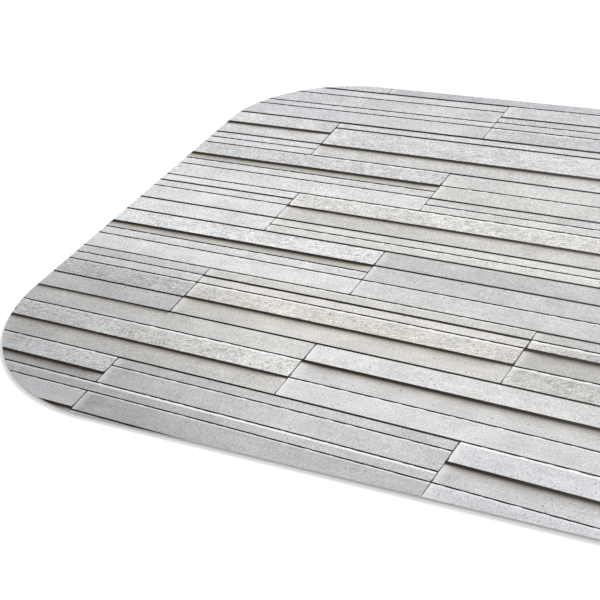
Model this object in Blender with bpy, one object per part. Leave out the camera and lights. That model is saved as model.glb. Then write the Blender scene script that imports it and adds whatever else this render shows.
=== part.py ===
"""Chair mat: a thin laminated sheet that protects the floor under an office chair.

The mat is one rounded rectangle, and its five layers share that outline. From the floor up
they are an anti-slip backing, a glass fleece that keeps the sheet flat, a foamed core, a
printed decor film and a clear wear layer. Each layer is bonded to the next one over its
whole face, so nothing moves.

Metres, +Z up. The origin is the middle of the underside, and +X runs along the long side.
"""

import math

import bpy

# The outline that all layers share.
MAT_WIDTH = 1.200
MAT_DEPTH = 0.900
CORNER_RADIUS = 0.185
CORNER_STEPS = 36  # straight steps in each quarter circle

# The adhesive between two layers is left as a gap of this height.
BOND_LINE = 0.00005

# Each layer from the floor up: node name, thickness, colour, roughness.
LAYERS = (
    ("anti_slip_backing", 0.00060, (0.54, 0.54, 0.55), 0.85),
    ("glass_fleece", 0.00025, (0.78, 0.78, 0.74), 0.90),
    ("foam_core", 0.00100, (0.42, 0.41, 0.40), 0.75),
    ("printed_film", 0.00015, (0.62, 0.61, 0.59), 0.55),
    ("wear_layer", 0.00030, (0.86, 0.87, 0.88), 0.30),
)

COLLECTION_NAME = "chair_mat"


def clear_scene():
    """Removes whatever objects the file starts with."""
    for item in list(bpy.data.objects):
        bpy.data.objects.remove(item)


def make_collection(name):
    """A collection for the mat's layers, linked to the scene."""
    collection = bpy.data.collections.new(name)
    bpy.context.scene.collection.children.link(collection)
    return collection


def make_material(name, colour, roughness):
    """A plain non-metallic material."""
    material = bpy.data.materials.new(name)
    material.use_nodes = True
    shader = material.node_tree.nodes["Principled BSDF"]
    shader.inputs["Base Color"].default_value = (*colour, 1.0)
    shader.inputs["Roughness"].default_value = roughness
    shader.inputs["Metallic"].default_value = 0.0
    return material


def rounded_rectangle(width, depth, radius, steps):
    """Points of a rounded rectangle about the origin, anticlockwise from the right-hand side."""
    corner_x = width / 2 - radius
    corner_y = depth / 2 - radius
    centres = (
        (corner_x, corner_y),
        (-corner_x, corner_y),
        (-corner_x, -corner_y),
        (corner_x, -corner_y),
    )
    points = []
    for quarter, (centre_x, centre_y) in enumerate(centres):
        for step in range(steps + 1):
            angle = (quarter + step / steps) * math.pi / 2
            x = centre_x + radius * math.cos(angle)
            y = centre_y + radius * math.sin(angle)
            points.append((x, y))
    return points


def make_layer(name, outline, thickness, bottom, material, collection):
    """One flat layer: the outline as a filled curve, with its underside at the height bottom."""
    curve = bpy.data.curves.new(name, "CURVE")
    curve.dimensions = "2D"
    curve.fill_mode = "BOTH"
    curve.extrude = thickness / 2
    spline = curve.splines.new("POLY")
    spline.points.add(len(outline) - 1)
    for point, (x, y) in zip(spline.points, outline):
        point.co = (x, y, 0.0, 1.0)
    spline.use_cyclic_u = True
    curve.materials.append(material)
    layer = bpy.data.objects.new(name, curve)
    layer.location.z = bottom + thickness / 2
    collection.objects.link(layer)
    return layer


def make_mat():
    """Stacks the layers from the floor up."""
    collection = make_collection(COLLECTION_NAME)
    outline = rounded_rectangle(MAT_WIDTH, MAT_DEPTH, CORNER_RADIUS, CORNER_STEPS)
    bottom = 0.0
    for name, thickness, colour, roughness in LAYERS:
        material = make_material(name, colour, roughness)
        make_layer(name, outline, thickness, bottom, material, collection)
        bottom += thickness + BOND_LINE


clear_scene()
make_mat()
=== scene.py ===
"""Looks, floor, light and camera for a flat chair mat printed with a dry-stone wall."""
import math
import random
from collections import namedtuple

import bmesh
import bpy
from mathutils import Matrix, Vector


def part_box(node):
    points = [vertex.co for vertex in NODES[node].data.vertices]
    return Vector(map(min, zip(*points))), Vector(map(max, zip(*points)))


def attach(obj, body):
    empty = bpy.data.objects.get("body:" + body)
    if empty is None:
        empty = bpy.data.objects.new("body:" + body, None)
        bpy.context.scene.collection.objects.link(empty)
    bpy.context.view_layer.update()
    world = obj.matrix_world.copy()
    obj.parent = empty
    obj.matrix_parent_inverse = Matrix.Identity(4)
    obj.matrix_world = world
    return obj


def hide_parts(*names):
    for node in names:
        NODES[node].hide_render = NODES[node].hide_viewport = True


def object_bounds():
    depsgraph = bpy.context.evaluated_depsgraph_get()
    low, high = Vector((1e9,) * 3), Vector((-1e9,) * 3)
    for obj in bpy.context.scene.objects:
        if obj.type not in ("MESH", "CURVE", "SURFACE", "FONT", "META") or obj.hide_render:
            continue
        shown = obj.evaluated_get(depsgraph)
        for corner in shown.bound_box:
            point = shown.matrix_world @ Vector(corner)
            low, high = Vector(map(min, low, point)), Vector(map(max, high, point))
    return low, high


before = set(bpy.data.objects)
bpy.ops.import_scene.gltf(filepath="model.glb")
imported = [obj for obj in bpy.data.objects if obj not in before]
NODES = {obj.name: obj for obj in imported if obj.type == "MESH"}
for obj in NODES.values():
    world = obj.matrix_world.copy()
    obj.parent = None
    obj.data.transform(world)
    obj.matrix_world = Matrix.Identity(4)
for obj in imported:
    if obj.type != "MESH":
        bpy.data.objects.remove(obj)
cad_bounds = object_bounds()
MAT_LOW, MAT_HIGH = cad_bounds
TOP = MAT_HIGH.z


# ---------------------------------------------------------------- the printed wall
# Plan coordinates start at the mat's near-left corner, x to the right and y away, in metres.
# The wall is printed in perspective: its courses grow away from the near edge and drop
# towards the right, and its upright seams fan out from one plumb line.

COURSE = 0.01448
COURSE_GROWTH = 0.0041
FIRST_LEVEL = 0.0118
NEAREST_COURSE = -2
FARTHEST_COURSE = 51

EYE_LEVEL = 0.87
DROP_SLOPE = 0.033
DROP_CURVE = 0.0275

PLUMB_LINE = 0.17
FAN_SPREAD = 0.36
FAN_MIDDLE = 0.45

FIRST_COURSE = -6
PANEL = 0.42
PANELS = 4
CELL = 0.03
CORNER_RADIUS = 0.185
OUTLINE_STEP = 0.006
CUT_TOLERANCE = 1e-5

# Line widths of the joints in the nearest course, in metres, and how they grow with the courses.
JOINTS = {"thin": 0.0020, "lit": 0.0021, "medium": 0.0026, "deep": 0.0031}
# A joint under a proud stone: its least width, and what a full overhang adds to it.
SHADED_JOINT = 0.0018
SHADED_GAIN = 0.0021
JOINT_GROWTH = 1.8
GLINTS = {"thin": 0.35, "lit": 1.0}
OVERHANG = 0.25
SEAM = 0.0008
PROUD_SEAM = 0.0017

# A stone's height in courses, its finish, its lightness in the print, the joint above it,
# and how far it stands out of the wall, from 0 to 1, and so shades the stone below it.
Stone = namedtuple("Stone", "courses finish tone joint proud")


def smooth(courses, tone, joint="thin", proud=0.0):
    """A sawn stone."""
    return Stone(courses, 0.0, tone, joint, proud)


def rough(courses, tone, joint="lit", proud=1.0):
    """A stone with a hammered face, which stands proud unless it says otherwise."""
    return Stone(courses, 1.0, tone, joint, proud)


# Each band is where its first seam is, how long its panels are, and the panels that repeat.
# A panel is a warmth, from -1 for bluish to 1 for beige, and its stones from the nearest.
# Neighbours that are alike in every way are one long stone.
WALL = [
    (0.168, PANEL, [
        (-0.3, [smooth(6.1, 0.78), smooth(1.9, 0.835, proud=1.0), smooth(1, 0.77, "lit"),
                smooth(1.12, 0.76), rough(1.88, 0.86)]),
        (0.3, [smooth(5.9, 0.78, "medium"), smooth(2.1, 0.735), smooth(1, 0.77, "lit"),
               smooth(2, 0.80), smooth(1, 0.79, "medium")]),
        (-0.8, [smooth(5.9, 0.78, "medium"), smooth(2.1, 0.825), smooth(2, 0.795),
                smooth(2, 0.84, "lit", proud=1.0)]),
    ]),
    (0.372, PANEL, [
        (0.5, [smooth(2, 0.825), rough(2, 0.85, proud=0.65), smooth(2, 0.84, "medium")]),
        (0.0, [smooth(2, 0.85), smooth(2, 0.835), smooth(2, 0.87, "medium", proud=1.0)]),
    ]),
    (0.177, 0.411, [
        (0.0, [smooth(2, 0.80, "medium", proud=0.4), rough(2, 0.80, proud=0.2), smooth(1, 0.85),
               smooth(1, 0.83)]),
        (1.3, [smooth(2.12, 0.835), rough(1.88, 0.84, proud=0.7), smooth(1, 0.855, "deep"),
               smooth(1, 0.82)]),
        (0.8, [rough(2, 0.80, proud=0.2), smooth(2, 0.77), rough(1, 0.80),
               smooth(1, 0.81, "medium")]),
    ]),
    (0.364, PANEL, [
        (0.1, [smooth(2, 0.885), smooth(1, 0.86), smooth(1, 0.80), rough(2, 0.885, "medium")]),
        (0.2, [smooth(2, 0.82), smooth(2, 0.795, "medium"), smooth(2, 0.765, "medium")]),
    ]),
    (0.200, PANEL, [
        (0.0, [smooth(2, 0.87, "medium"), smooth(2, 0.865), smooth(1, 0.87, "medium"),
               smooth(1, 0.885)]),
        (0.7, [smooth(1, 0.84), smooth(1, 0.855, "medium"), smooth(2, 0.795),
               rough(2, 0.845, proud=0.6)]),
        (0.2, [smooth(2, 0.815), rough(2, 0.84, "medium"), smooth(2, 0.80, "medium")]),
    ]),
    (0.364, PANEL, [
        (0.1, [smooth(2, 0.86), smooth(1, 0.845), smooth(1, 0.77), rough(2, 0.82)]),
        (0.5, [smooth(1, 0.835), smooth(1, 0.805, "medium"), smooth(2, 0.82),
               smooth(2, 0.82, "medium")]),
    ]),
    (0.170, PANEL, [
        (-0.1, [smooth(1, 0.855), smooth(1, 0.86, "medium"), smooth(2, 0.84, "medium"),
                rough(2, 0.84, "medium")]),
        (0.0, [smooth(2, 0.815), rough(3, 0.84, "medium"), smooth(1, 0.835, "deep")]),
        (0.3, [smooth(2, 0.83, "medium"), smooth(1, 0.80), rough(2, 0.84), smooth(1, 0.82)]),
    ]),
    (0.368, PANEL, [
        (-0.4, [smooth(2, 0.815), smooth(0.88, 0.83), smooth(1.95, 0.81),
                smooth(1.17, 0.84, "medium")]),
        (-0.5, [rough(2, 0.78, proud=0.2), smooth(1, 0.79), smooth(1, 0.80, "medium"),
                smooth(2, 0.80)]),
    ]),
    (0.197, PANEL, [
        (-0.5, [smooth(6, 0.80)]),
        (-1.1, [smooth(6, 0.75)]),
    ]),
]

NEAREST_LIT = 0.71
SHADE_WIDTH = 0.33
SHADE_DEPTH = 0.34
# Places where the print is made darker: where, how far they reach, and how much darker.
DIMS = [((0.66, 0.20), 0.24, 0.13), ((0.04, 0.107), 0.06, 0.15)]


def level(course):
    """How far away a course line starts, at the mat's left side."""
    return FIRST_LEVEL + COURSE * course / (1.0 - COURSE_GROWTH * course)


FARTHEST = level(FARTHEST_COURSE)


def drop(x):
    """How steeply the courses have dropped by x, as a share of their depth below eye level."""
    return DROP_SLOPE * x + DROP_CURVE * x * x


def to_wall(x, y):
    """Plan coordinates to the wall's own: along its courses, and up through them."""
    spread = 1.0 + FAN_SPREAD * (y - FAN_MIDDLE)
    along = PLUMB_LINE + (x - PLUMB_LINE) / spread
    return along, (y + EYE_LEVEL * drop(x)) / (1.0 + drop(x))


def to_plan(along, up):
    """The wall's own coordinates to plan coordinates, by repeated correction."""
    x = along
    y = up
    for _ in range(8):
        y = up - (EYE_LEVEL - up) * drop(x)
        x = PLUMB_LINE + (along - PLUMB_LINE) * (1.0 + FAN_SPREAD * (y - FAN_MIDDLE))
    return x, y


def smoothstep(low, high, value):
    """0 below low, 1 above high, and a smooth rise between."""
    t = min(max((value - low) / (high - low), 0.0), 1.0)
    return t * t * (3.0 - 2.0 * t)


def daylight(x, y):
    """How bright the pictured wall is lit, falling off to its near-left corner, and how much darker the
    print is made in a few places.
    """
    reach = (x / SHADE_WIDTH) ** 2 + (y / SHADE_DEPTH) ** 2
    light = NEAREST_LIT + (1.0 - NEAREST_LIT) * smoothstep(0.1, 1.35, reach)
    for place, reach, depth in DIMS:
        light *= 1.0 - depth * (1.0 - smoothstep(0.0, reach, math.dist((x, y), place)))
    return light


def lay_wall():
    """Every stone of the wall as a dict of its limits and looks, from the design table."""
    chance = random.Random(7)
    stones = []
    base = FIRST_COURSE
    for first_seam, span, panels in WALL:
        laid = []
        for i in range(PANELS):
            warmth, pattern = panels[i % len(panels)]
            right = first_seam + span * i
            course = base
            for stone in pattern:
                laid.append({
                    "left": right - span,
                    "right": right,
                    "near": level(course),
                    "far": level(course + stone.courses),
                    "growth": (level(course + 1.0) - level(course)) / COURSE,
                    "stone": stone,
                    "tone": stone.tone + chance.uniform(-0.006, 0.006),
                    "warmth": warmth + chance.uniform(-0.15, 0.15),
                    "seed": chance.uniform(0.0, 1.0),
                })
                course += stone.courses
        stones += join_alike(laid)
        base += sum(stone.courses for stone in panels[0][1])
    return stones


def join_alike(stones):
    """Joins each stone to its left neighbour if the two are alike in every way."""
    kept = []
    for s in stones:
        partners = [
            k for k in kept
            if k["stone"] == s["stone"]
            and math.dist((k["right"], k["near"]), (s["left"], s["near"])) < CUT_TOLERANCE
        ]
        if partners:
            partners[0]["right"] = s["right"]
        else:
            kept.append(s)
    return kept


def stone_at(stones, along, up):
    """The stone that covers a place on the wall."""
    for s in stones:
        if s["left"] <= along < s["right"] and s["near"] <= up <= s["far"]:
            return s
    raise ValueError(f"no stone at {along:.3f}, {up:.3f}")


def joint_above(lower, upper):
    """(line width, shade, glint) of the joint between a stone and the one above it."""
    growth = lower["growth"] ** JOINT_GROWTH
    overhang = upper["stone"].proud - lower["stone"].proud
    if overhang > OVERHANG:
        return (SHADED_JOINT + SHADED_GAIN * overhang) * growth, overhang, 0.0
    kind = lower["stone"].joint
    return JOINTS[kind] * growth, 0.0, GLINTS.get(kind, 0.0)


def rounded_outline():
    """The mat's plan outline in steps, anticlockwise from its near side."""
    width = MAT_HIGH.x - MAT_LOW.x
    depth = MAT_HIGH.y - MAT_LOW.y
    centres = [
        (width - CORNER_RADIUS, CORNER_RADIUS),
        (width - CORNER_RADIUS, depth - CORNER_RADIUS),
        (CORNER_RADIUS, depth - CORNER_RADIUS),
        (CORNER_RADIUS, CORNER_RADIUS),
    ]
    arc_steps = 48
    points = []
    for i, (cx, cy) in enumerate(centres):
        start = math.radians(90.0 * i - 90.0)
        for step in range(arc_steps + 1):
            angle = start + math.radians(90.0) * step / arc_steps
            points.append((cx + CORNER_RADIUS * math.cos(angle), cy + CORNER_RADIUS * math.sin(angle)))
    outline = []
    for (ax, ay), (bx, by) in zip(points, points[1:] + points[:1]):
        pieces = max(1, math.ceil(math.dist((ax, ay), (bx, by)) / OUTLINE_STEP))
        for i in range(pieces):
            share = i / pieces
            outline.append((ax + (bx - ax) * share, ay + (by - ay) * share))
    return outline


def cut(bm, place, normal):
    """Cuts every face of bm along a plane."""
    bmesh.ops.bisect_plane(
        bm,
        geom=bm.verts[:] + bm.edges[:] + bm.faces[:],
        dist=CUT_TOLERANCE,
        plane_co=place,
        plane_no=normal,
    )


def wall_cuts(stones):
    """Where the sheet is cut along its courses: at every seam, and in even cells between."""
    cuts = {round(s["right"], 4) for s in stones}
    cell = 0.0
    while cell < 1.6:
        if all(abs(cell - seam) > 0.4 * CELL for seam in cuts):
            cuts.add(round(cell, 4))
        cell += CELL
    return sorted(cuts)


def mark_faces(bm, stones):
    """Writes each face's stone and joint to the layers that the print's material reads."""
    names = ("span", "ends", "joint", "stone")
    span, ends, joint, looks = [bm.faces.layers.float_vector.new(n) for n in names]
    for face in bm.faces:
        centre = face.calc_center_median()
        here = stone_at(stones, centre.x, centre.y)
        above = stone_at(stones, centre.x, min(here["far"], FARTHEST) + CUT_TOLERANCE)
        seam = PROUD_SEAM if here["stone"].proud > OVERHANG else SEAM
        face[span] = (here["near"], here["far"], here["seed"])
        face[ends] = (here["left"], here["right"], seam)
        face[joint] = joint_above(here, above)
        face[looks] = (here["tone"], here["warmth"], here["stone"].finish)


def settle_order(bm):
    """Sorts edges and faces by their corners, as solidify makes the rim in no fixed order."""
    bm.verts.index_update()
    count = len(bm.verts)

    def rank(part):
        corners = sorted(vert.index for vert in part.verts)
        return (corners[0] * count + corners[1]) * count + corners[-1]

    bm.edges.sort(key=rank)
    bm.faces.sort(key=rank)


def print_sheet():
    """The printed film: one thin closed sheet, cut along the wall's courses and seams."""
    low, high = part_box("printed_film")
    stones = lay_wall()
    bm = bmesh.new()
    bm.faces.new([bm.verts.new((*to_wall(x, y), 0.0)) for x, y in rounded_outline()])
    lines = {level(course) for course in range(NEAREST_COURSE, FARTHEST_COURSE + 1)}
    for up in sorted(lines | {s["far"] for s in stones}):
        cut(bm, (0.0, up, 0.0), (0.0, 1.0, 0.0))
    for along in wall_cuts(stones):
        cut(bm, (along, 0.0, 0.0), (1.0, 0.0, 0.0))
    mark_faces(bm, stones)
    place = bm.verts.layers.float_vector.new("place")
    for vert in bm.verts:
        along, up, _ = vert.co
        x, y = to_plan(along, up)
        vert[place] = (along, up, daylight(x, y))
        vert.co = (low.x + x, low.y + y, high.z)
    bmesh.ops.recalc_face_normals(bm, faces=bm.faces[:])
    if bm.faces[0].normal.z < 0.0:
        bmesh.ops.reverse_faces(bm, faces=bm.faces[:])
    bmesh.ops.solidify(bm, geom=bm.faces[:], thickness=high.z - low.z)
    settle_order(bm)
    mesh = bpy.data.meshes.new("printed_stone_film")
    bm.to_mesh(mesh)
    bm.free()
    sheet = bpy.data.objects.new("printed_stone_film", mesh)
    bpy.context.collection.objects.link(sheet)
    return sheet


# ---------------------------------------------------------------- materials


class Graph:
    """A material's nodes, with short calls for the sums that its colours need."""

    def __init__(self, name):
        self.material = bpy.data.materials.new(name)
        self.material.use_nodes = True
        self.nodes = self.material.node_tree.nodes
        self.links = self.material.node_tree.links
        self.shader = self.nodes["Principled BSDF"]
        self.output = self.nodes["Material Output"]

    def feed(self, socket, value):
        """Links value to socket if it is another socket, and sets it otherwise."""
        if isinstance(value, bpy.types.NodeSocket):
            self.links.new(value, socket)
        else:
            socket.default_value = value

    def sum(self, operation, *values):
        """A Math node."""
        node = self.nodes.new("ShaderNodeMath")
        node.operation = operation
        for socket, value in zip(node.inputs, values):
            self.feed(socket, value)
        return node.outputs[0]

    def attribute(self, name):
        """The three numbers of a mesh attribute."""
        node = self.nodes.new("ShaderNodeAttribute")
        node.attribute_name = name
        parts = self.nodes.new("ShaderNodeSeparateXYZ")
        self.links.new(node.outputs["Vector"], parts.inputs[0])
        return parts.outputs[0], parts.outputs[1], parts.outputs[2]

    def place(self):
        """The point's own place in the object, in metres."""
        return self.nodes.new("ShaderNodeTexCoord").outputs["Object"]

    def moved(self, vector, scale, offset):
        """A place scaled by three numbers, then moved by three numbers or a socket."""
        node = self.nodes.new("ShaderNodeVectorMath")
        node.operation = "MULTIPLY_ADD"
        self.feed(node.inputs[0], vector)
        self.feed(node.inputs[1], scale)
        self.feed(node.inputs[2], offset)
        return node.outputs[0]

    def turned(self, vector, degrees):
        """A place turned about the upright axis."""
        node = self.nodes.new("ShaderNodeVectorRotate")
        node.rotation_type = "Z_AXIS"
        node.inputs["Angle"].default_value = math.radians(degrees)
        self.feed(node.inputs["Vector"], vector)
        return node.outputs[0]

    def noise(self, vector, scale, detail=2.0, roughness=0.5, distortion=0.0):
        """Noise from 0 to 1, about 0.5."""
        node = self.nodes.new("ShaderNodeTexNoise")
        self.feed(node.inputs["Vector"], vector)
        node.inputs["Scale"].default_value = scale
        node.inputs["Detail"].default_value = detail
        node.inputs["Roughness"].default_value = roughness
        node.inputs["Distortion"].default_value = distortion
        return node.outputs["Fac"]

    def swing(self, noise, amount):
        """Noise as a swing of amount about zero."""
        return self.sum("MULTIPLY", self.sum("SUBTRACT", noise, 0.5), amount)

    def cells(self, vector, scale):
        """Distance to the nearest point of a scatter of points."""
        node = self.nodes.new("ShaderNodeTexVoronoi")
        node.feature = "F1"
        self.feed(node.inputs["Vector"], vector)
        node.inputs["Scale"].default_value = scale
        return node.outputs["Distance"]

    def ramp(self, value, low, high, to_low=0.0, to_high=1.0):
        """A smooth rise from to_low to to_high as value goes from low to high."""
        node = self.nodes.new("ShaderNodeMapRange")
        node.interpolation_type = "SMOOTHSTEP"
        for socket, number in zip(node.inputs, (value, low, high, to_low, to_high)):
            self.feed(socket, number)
        return node.outputs[0]

    def blend(self, share, first, second, kind="MIX"):
        """A colour mix."""
        node = self.nodes.new("ShaderNodeMix")
        node.data_type = "RGBA"
        node.blend_type = kind
        self.feed(node.inputs["Factor"], share)
        self.feed(node.inputs[6], first)
        self.feed(node.inputs[7], second)
        return node.outputs[2]

    def colour(self, red, green, blue):
        """Three numbers as one colour."""
        node = self.nodes.new("ShaderNodeCombineColor")
        for socket, value in zip(node.inputs, (red, green, blue)):
            self.feed(socket, value)
        return node.outputs[0]

    def bump(self, height, distance, strength=1.0):
        """A normal from a height, in metres."""
        node = self.nodes.new("ShaderNodeBump")
        node.inputs["Strength"].default_value = strength
        node.inputs["Distance"].default_value = distance
        self.feed(node.inputs["Height"], height)
        return node.outputs[0]


# The print's colours, and how the film and the light of the studio treat them.
INK = (0.005, 0.004, 0.003, 1.0)
SHADED_INK = (0.014, 0.007, 0.004, 1.0)
SHADE = (0.040, 0.026, 0.015, 1.0)
SHADE_TINT = (1.0, 0.945, 0.84, 1.0)
WHITE = (1.0, 1.0, 1.0, 1.0)
STUDIO_LIGHT = 1.125
DISPLAY_POWER = 2.2
FILM_GLOSS = 0.006
PRINT_SPECULAR = 0.04

# Marks on the stones: waves per metre, and how far they swing a stone's lightness.
GRAIN = (620.0, 0.64)
COARSE_GRAIN = (300.0, 0.60)
CLOUDS = (26.0, 0.20)
BEDDING = (190.0, 0.12)
STREAKS = (520.0, 0.66)
DRESSING = (75.0, 0.13)
STROKES = (430.0, 0.22)
PITS = (360.0, 0.34)
CHISEL_SLANT = -17.0
HAMMERED_GRAIN = 0.7
STREAK_CEILING = 0.60

# How far a stone's warmth and its tints pull red and blue apart.
RED_PULL = 0.020
BLUE_PULL = 0.045
LEAST_REDNESS = -0.1
RUST = 0.5
TINTS = (170.0, 2.4)

# Lengths across the joints and seams, in metres.
LINE_SOFTNESS = 0.0003
JOINT_WANDER = (45.0, 0.0010)
SEAM_WANDER = (120.0, 0.0008)
INVERSE_E = 0.3679


def scattered_place(g, seed):
    """The point's own place, moved far off by the stone's seed, so that no two stones match."""
    shift = g.nodes.new("ShaderNodeCombineXYZ")
    for socket, far_off in zip(shift.inputs, (31.0, 17.0, 5.0)):
        g.feed(socket, g.sum("MULTIPLY", seed, far_off))
    return g.moved(g.place(), (1.0, 1.0, 1.0), shift.outputs[0])


def hammer_marks(g, slant, grain):
    """Slanting streaks and dark strokes with a coarser dressing, on top of the grain."""
    scale, swing = STREAKS
    streaks = g.noise(g.moved(slant, (0.24, 1.0, 1.0), (3.0, 5.0, 0.0)), scale, 2.0, 0.7)
    streaks = g.swing(g.sum("MINIMUM", streaks, STREAK_CEILING), swing)
    scale, swing = DRESSING
    dressing = g.noise(g.moved(slant, (0.5, 1.0, 1.0), (7.0, 1.0, 0.0)), scale, 2.0, 0.5)
    marked = g.sum("ADD", streaks, g.swing(dressing, swing))
    scale, depth = STROKES
    strokes = g.noise(g.moved(slant, (0.35, 1.0, 1.0), (6.0, 2.0, 0.0)), scale, 1.0, 0.5)
    marked = g.sum("SUBTRACT", marked, g.ramp(strokes, 0.40, 0.24, 0.0, depth))
    return g.sum("MULTIPLY_ADD", grain, HAMMERED_GRAIN, marked)


def stone_texture(g, spot, slant, up, hammered):
    """How far the stone's marks move its lightness: grain, clouds, bedding, hammering, pits."""
    grain = g.swing(g.noise(spot, GRAIN[0], 3.0, 0.7), GRAIN[1])
    coarse = g.swing(g.noise(spot, COARSE_GRAIN[0], 2.0, 0.6), COARSE_GRAIN[1])
    coarse = g.sum("MULTIPLY", coarse, up)
    clouds = g.swing(g.noise(spot, CLOUDS[0], 3.0, 0.6), CLOUDS[1])
    long_spot = g.moved(spot, (0.12, 1.0, 1.0), (0.0, 0.0, 0.0))
    bedding = g.swing(g.noise(long_spot, BEDDING[0], 2.0), BEDDING[1])
    even = g.sum("ADD", g.sum("ADD", g.sum("ADD", grain, coarse), clouds), bedding)
    hammering = g.sum("MULTIPLY", hammer_marks(g, slant, grain), hammered)
    pits = g.ramp(g.noise(spot, PITS[0], 1.0, 0.5), 0.69, 0.77, 0.0, PITS[1])
    return g.sum("SUBTRACT", g.sum("ADD", even, hammering), pits)


def stone_colour(g, spot, slant, along, grey, warmth, hammered):
    """Grey made warmer or cooler, by stone and in patches, and cooler at the wall's left end."""
    rust = g.sum("MULTIPLY", g.ramp(g.noise(spot, 75.0, 2.0, 0.6), 0.52, 0.75), RUST)
    tints = g.noise(g.moved(slant, (0.5, 1.0, 1.0), (1.0, 8.0, 0.0)), TINTS[0], 2.0, 0.6)
    patchy = g.sum("ADD", g.sum("MULTIPLY", rust, hammered), g.swing(tints, TINTS[1]))
    patchy = g.sum("SUBTRACT", patchy, g.ramp(along, 0.05, 0.22, 0.5, 0.0))
    warm = g.sum("ADD", warmth, patchy)
    redness = g.sum("MULTIPLY", g.sum("MAXIMUM", warm, LEAST_REDNESS), RED_PULL)
    red = g.sum("MULTIPLY", grey, g.sum("ADD", 1.0, redness))
    blueness = g.sum("SUBTRACT", 1.0, g.sum("MULTIPLY", warm, BLUE_PULL))
    return g.colour(red, grey, g.sum("MULTIPLY", grey, blueness))


def add_glint(g, face, past, glint, glinting, along):
    """The light edge just nearer than a thin joint, weaker at the wall's left end."""
    reach = g.sum("ADD", 0.0010, g.sum("MULTIPLY", glint, 0.0015))
    power = g.sum("MULTIPLY", g.sum("ADD", 0.30, g.sum("MULTIPLY", glint, 0.32)), glinting)
    power = g.sum("MULTIPLY", power, g.ramp(along, 0.05, 0.26, 0.3, 1.0))
    glow = g.sum("MULTIPLY", g.ramp(g.sum("DIVIDE", past, reach), 1.4, 0.5), power)
    return g.blend(glow, face, WHITE)


def add_shade(g, face, past, shaded, in_shade, to_seam):
    """The brown shade under a stone that stands proud, shorter towards the stones' ends."""
    reach = g.sum("ADD", 0.0022, g.sum("MULTIPLY", shaded, 0.0025))
    reach = g.sum("MULTIPLY", reach, g.ramp(to_seam, 0.0, 0.030, 0.35, 1.0))
    depth = g.sum("DIVIDE", g.sum("MAXIMUM", past, 0.0), reach)
    fade = g.sum("MULTIPLY", g.sum("POWER", INVERSE_E, g.sum("POWER", depth, 1.2)), in_shade)
    wide = g.sum("POWER", INVERSE_E, g.sum("MULTIPLY", depth, 0.6))
    wide = g.sum("MULTIPLY", wide, in_shade)
    face = g.blend(wide, face, g.blend(1.0, face, SHADE_TINT, "MULTIPLY"))
    return g.blend(g.sum("MULTIPLY", fade, 0.98), face, SHADE)


def add_joint(g, face, spot, past, joint, glinting, in_shade):
    """The dark line of the joint, which is thinner where the two stones of a thin one touch."""
    touch = g.noise(g.moved(spot, (1.0, 0.0, 0.0), (2.0, 7.0, 0.0)), 90.0, 1.0)
    touch = g.ramp(touch, 0.32, 0.56)
    thinned = g.sum("MULTIPLY", g.sum("MULTIPLY", g.sum("SUBTRACT", 1.0, touch), 0.30), glinting)
    thinned = g.sum("ADD", thinned, g.sum("MULTIPLY", in_shade, 0.08))
    past_line = g.sum("ADD", past, g.sum("MULTIPLY", joint, thinned))
    line = g.ramp(past_line, -LINE_SOFTNESS, LINE_SOFTNESS, 1.0, 0.0)
    return g.blend(line, face, g.blend(in_shade, INK, SHADED_INK))


def add_seam(g, face, spot, to_seam, to_joint, seam_width):
    """The fine upright line between neighbours, which gapes where it meets a joint."""
    sway = g.noise(g.moved(spot, (0.0, 1.0, 0.0), (0.0, 4.0, 0.0)), SEAM_WANDER[0], 2.0)
    sway = g.swing(sway, SEAM_WANDER[1])
    gape = g.sum("MULTIPLY", seam_width, g.ramp(to_joint, 0.001, 0.009, 1.8, 1.0))
    from_line = g.sum("DIVIDE", g.sum("ADD", to_seam, sway), gape)
    return g.blend(g.ramp(from_line, 0.35, 0.75, 0.92, 0.0), face, INK)


def stone_print():
    """The printed stones: tone and marks, then glints, painted highlights on the stones' left ends,
    shade, joints and seams.
    """
    g = Graph("stone print")
    along, up, lit = g.attribute("place")
    near, far, seed = g.attribute("span")
    left, right, seam_width = g.attribute("ends")
    joint, shaded, glint = g.attribute("joint")
    tone, warmth, hammered = g.attribute("stone")
    glinting = g.sum("GREATER_THAN", glint, 0.0)
    in_shade = g.sum("MINIMUM", g.sum("MULTIPLY", shaded, 2.0), 1.0)
    spot = scattered_place(g, seed)
    slant = g.turned(spot, CHISEL_SLANT)

    texture = stone_texture(g, spot, slant, up, hammered)
    shine = g.sum("MULTIPLY", tone, g.sum("ADD", texture, 1.0))
    light = g.sum("DIVIDE", lit, STUDIO_LIGHT)
    grey = g.sum("MULTIPLY", g.sum("POWER", shine, DISPLAY_POWER), light)
    face = stone_colour(g, spot, slant, along, grey, warmth, hammered)

    wander = g.noise(g.moved(spot, (1.0, 0.0, 0.0), (9.0, 0.0, 0.0)), JOINT_WANDER[0], 2.0, 0.5)
    below = g.sum("ADD", g.sum("SUBTRACT", far, up), g.swing(wander, JOINT_WANDER[1]))
    past = g.sum("SUBTRACT", below, joint)
    from_left = g.sum("SUBTRACT", along, left)
    to_seam = g.sum("MINIMUM", g.sum("SUBTRACT", right, along), from_left)
    to_joint = g.sum("MINIMUM", below, g.sum("SUBTRACT", up, near))

    face = add_glint(g, face, past, glint, glinting, along)
    # Painted highlight: each stone's left end is lightened towards white, where its rounded end catches
    # the light.
    end_highlight = g.sum("MULTIPLY", g.ramp(from_left, 0.012, 0.001), 0.22)
    face = g.blend(end_highlight, face, WHITE)
    face = add_shade(g, face, past, shaded, in_shade, to_seam)
    face = add_joint(g, face, spot, past, joint, glinting, in_shade)
    face = add_seam(g, face, spot, to_seam, to_joint, seam_width)

    g.feed(g.shader.inputs["Base Color"], face)
    g.shader.inputs["Roughness"].default_value = 0.6
    g.shader.inputs["Specular IOR Level"].default_value = PRINT_SPECULAR
    return g.material


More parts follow.
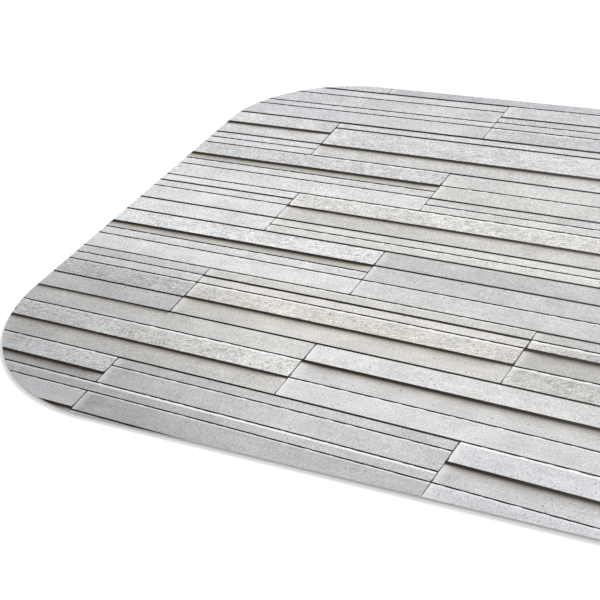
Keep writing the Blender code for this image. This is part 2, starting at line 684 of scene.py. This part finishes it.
def clear_film():
    """The wear layer: a clear satin film with fine emboss and faint scuffs."""
    g = Graph("clear satin film")
    g.nodes.remove(g.shader)
    place = g.place()
    emboss = g.noise(place, 900.0, 2.0, 0.6)
    scuffs = g.noise(g.moved(place, (1.0, 0.3, 1.0), (0.0, 0.0, 0.0)), 12.0, 4.0, 0.6)
    clear = g.nodes.new("ShaderNodeBsdfTransparent")
    gloss = g.nodes.new("ShaderNodeBsdfGlossy")
    g.feed(gloss.inputs["Roughness"], g.ramp(scuffs, 0.3, 0.7, 0.34, 0.46))
    g.feed(gloss.inputs["Normal"], g.bump(emboss, 0.00003, 0.5))
    mix = g.nodes.new("ShaderNodeMixShader")
    mix.inputs[0].default_value = FILM_GLOSS
    g.links.new(clear.outputs[0], mix.inputs[1])
    g.links.new(gloss.outputs[0], mix.inputs[2])
    g.links.new(mix.outputs[0], g.output.inputs["Surface"])
    return g.material


def foam():
    """The core's cut edge: fine closed cells in grey foam."""
    g = Graph("foam cells")
    place = g.place()
    cell = g.cells(place, 2600.0)
    patch = g.noise(place, 160.0, 3.0, 0.6)
    mixed = g.sum("ADD", g.sum("MULTIPLY", cell, 0.16), g.sum("MULTIPLY", patch, 0.12))
    grey = g.sum("ADD", mixed, 0.31)
    g.feed(g.shader.inputs["Base Color"], g.colour(grey, grey, g.sum("MULTIPLY", grey, 0.98)))
    g.feed(g.shader.inputs["Normal"], g.bump(cell, 0.0001, 0.5))
    g.shader.inputs["Roughness"].default_value = 0.8
    g.shader.inputs["Specular IOR Level"].default_value = 0.2
    return g.material


def fleece():
    """The glass fleece: pale fibres that cross at random."""
    g = Graph("glass fleece fibres")
    place = g.place()
    one_way = g.noise(g.moved(place, (1.0, 0.08, 1.0), (0.0, 0.0, 0.0)), 2400.0, 2.0, 0.5, 0.6)
    other_way = g.noise(g.moved(place, (0.08, 1.0, 1.0), (4.0, 0.0, 0.0)), 2400.0, 2.0, 0.5, 0.6)
    fibre = g.sum("MAXIMUM", one_way, other_way)
    face = g.blend(g.ramp(fibre, 0.4, 0.75), (0.52, 0.51, 0.49, 1.0), (0.74, 0.74, 0.70, 1.0))
    g.feed(g.shader.inputs["Base Color"], face)
    g.feed(g.shader.inputs["Normal"], g.bump(fibre, 0.0001, 0.6))
    g.shader.inputs["Roughness"].default_value = 0.9
    g.shader.inputs["Specular IOR Level"].default_value = 0.15
    return g.material


def rubber():
    """The backing: matt grey rubber with a fine pebbled skin."""
    g = Graph("grip rubber")
    place = g.place()
    pebble = g.cells(place, 700.0)
    bloom = g.noise(place, 25.0, 4.0, 0.6)
    mixed = g.sum("ADD", g.sum("MULTIPLY", pebble, 0.05), g.sum("MULTIPLY", bloom, 0.06))
    grey = g.sum("ADD", mixed, 0.50)
    g.feed(g.shader.inputs["Base Color"], g.colour(grey, grey, g.sum("MULTIPLY", grey, 1.03)))
    g.feed(g.shader.inputs["Normal"], g.bump(pebble, 0.0003, 0.6))
    g.feed(g.shader.inputs["Roughness"], g.ramp(bloom, 0.3, 0.7, 0.72, 0.88))
    g.shader.inputs["Specular IOR Level"].default_value = 0.3
    return g.material


def dress(name, material):
    """Gives a carried-over CAD node its one procedural material."""
    node = NODES[name]
    node.data.materials.clear()
    node.data.materials.append(material)


# ---------------------------------------------------------------- floor, light and camera

FLOOR_GAP = 0.0003
FLOOR_SIZE = 60.0
SKY_STRENGTH = 0.78
HORIZON_STRENGTH = 1.08
SUN_AZIMUTH = 10.0
SUN_ELEVATION = 27.0
SUN_SPREAD = 20.0
SUN_STRENGTH = 2.45


def add_floor():
    """A plain white floor, a hair below the mat."""
    mesh = bpy.data.meshes.new("studio_floor")
    half = FLOOR_SIZE / 2.0
    corners = [(-half, -half), (half, -half), (half, half), (-half, half)]
    mesh.from_pydata([(x, y, MAT_LOW.z - FLOOR_GAP) for x, y in corners], [], [(0, 1, 2, 3)])
    floor = bpy.data.objects.new("studio_floor", mesh)
    bpy.context.collection.objects.link(floor)
    g = Graph("studio floor")
    g.shader.inputs["Base Color"].default_value = (0.95, 0.95, 0.95, 1.0)
    g.shader.inputs["Roughness"].default_value = 0.9
    g.shader.inputs["Specular IOR Level"].default_value = 0.0
    mesh.materials.append(g.material)


def add_light():
    """A soft white studio: an even dome, brightest at the horizon, and a soft key from behind."""
    world = bpy.data.worlds.new("studio")
    world.use_nodes = True
    nodes = world.node_tree.nodes
    links = world.node_tree.links
    place = nodes.new("ShaderNodeTexCoord")
    parts = nodes.new("ShaderNodeSeparateXYZ")
    links.new(place.outputs["Generated"], parts.inputs[0])
    rise = nodes.new("ShaderNodeMapRange")
    rise.inputs["From Min"].default_value = 0.05
    rise.inputs["From Max"].default_value = 0.30
    rise.inputs["To Min"].default_value = HORIZON_STRENGTH
    rise.inputs["To Max"].default_value = SKY_STRENGTH
    links.new(parts.outputs["Z"], rise.inputs["Value"])
    background = nodes["Background"]
    background.inputs["Color"].default_value = WHITE
    links.new(rise.outputs[0], background.inputs["Strength"])
    bpy.context.scene.world = world

    lamp = bpy.data.lights.new("key", "SUN")
    lamp.energy = SUN_STRENGTH
    lamp.angle = math.radians(SUN_SPREAD)
    key = bpy.data.objects.new("key", lamp)
    azimuth = math.radians(SUN_AZIMUTH)
    elevation = math.radians(SUN_ELEVATION)
    towards = Vector((
        math.sin(azimuth) * math.cos(elevation),
        math.cos(azimuth) * math.cos(elevation),
        math.sin(elevation),
    ))
    key.rotation_euler = towards.to_track_quat("Z", "Y").to_euler()
    bpy.context.collection.objects.link(key)


CAMERA_PLACE = (0.0992, -1.0768, TOP + 0.6064)
CAMERA_AZIMUTH = -24.12
CAMERA_ELEVATION = 32.11
CAMERA_ROLL = -3.16
LENS = 61.82
SENSOR = 36.0


def add_camera():
    """The camera at the photograph's viewing angle: low over the near side, a little tilted."""
    azimuth = math.radians(CAMERA_AZIMUTH)
    elevation = math.radians(CAMERA_ELEVATION)
    forward = Vector((
        math.sin(azimuth) * math.cos(elevation),
        math.cos(azimuth) * math.cos(elevation),
        -math.sin(elevation),
    ))
    right = Vector((math.cos(azimuth), -math.sin(azimuth), 0.0))
    up = right.cross(forward)
    turn = Matrix((right, up, -forward)).transposed()
    roll = Matrix.Rotation(math.radians(CAMERA_ROLL), 3, "Z")
    data = bpy.data.cameras.new("camera")
    data.lens = LENS
    data.sensor_width = SENSOR
    data.clip_start = 0.01
    data.clip_end = 100.0
    camera = bpy.data.objects.new("camera", data)
    camera.matrix_world = Matrix.Translation(CAMERA_PLACE) @ (turn @ roll).to_4x4()
    bpy.context.collection.objects.link(camera)
    bpy.context.scene.camera = camera


# ---------------------------------------------------------------- the scene

film = print_sheet()
film.data.materials.append(stone_print())
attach(film, "root")
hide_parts("printed_film")

dress("wear_layer", clear_film())
dress("foam_core", foam())
dress("glass_fleece", fleece())
dress("anti_slip_backing", rubber())

add_floor()
add_light()
add_camera()
bpy.context.scene.view_settings.view_transform = "Standard"
